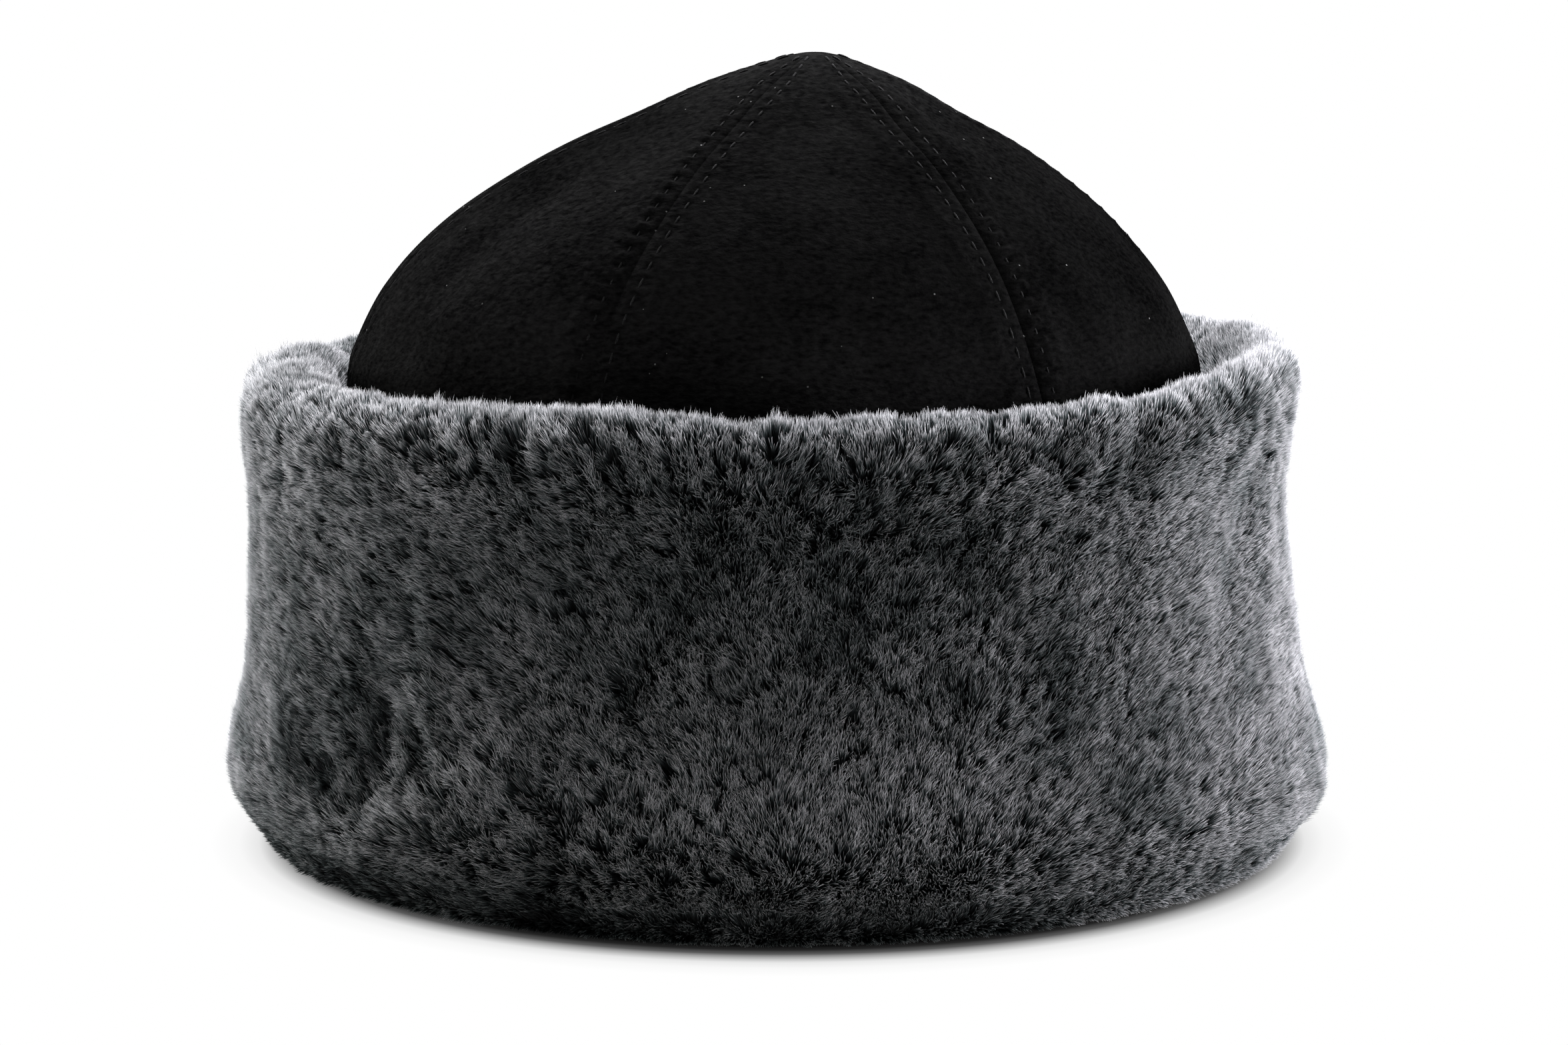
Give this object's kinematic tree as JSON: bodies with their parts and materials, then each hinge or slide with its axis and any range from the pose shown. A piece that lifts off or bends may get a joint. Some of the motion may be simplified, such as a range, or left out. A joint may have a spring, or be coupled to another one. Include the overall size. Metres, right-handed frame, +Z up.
{
  "type": "kubanka hat",
  "caption": "Low fur hat with a peaked, seamed suede crown standing in a deep turned-up cuff of sheared sheepskin; the underside is open for a head.",
  "frame": {"origin": "middle of the bounding box at its lowest plane, the surface the cuff stands on", "axes": "+Z up through the crown, -Y towards the front, +X to the wearer's left, the side to which the peak leans"},
  "size_m": [0.2408, 0.2408, 0.1694],
  "materials": {
    "black_suede": "matt black suede with a short brushed nap",
    "dark_sheepskin": "dense sheared wool, near-black at the root and pale grey at the tip"
  },
  "bodies": {
    "root": {"crown_gore_1": "black_suede", "crown_gore_2": "black_suede", "crown_gore_3": "black_suede", "crown_gore_4": "black_suede", "crown_gore_5": "black_suede", "crown_gore_6": "black_suede", "fur_cuff": "dark_sheepskin"}
  },
  "joints": []
}
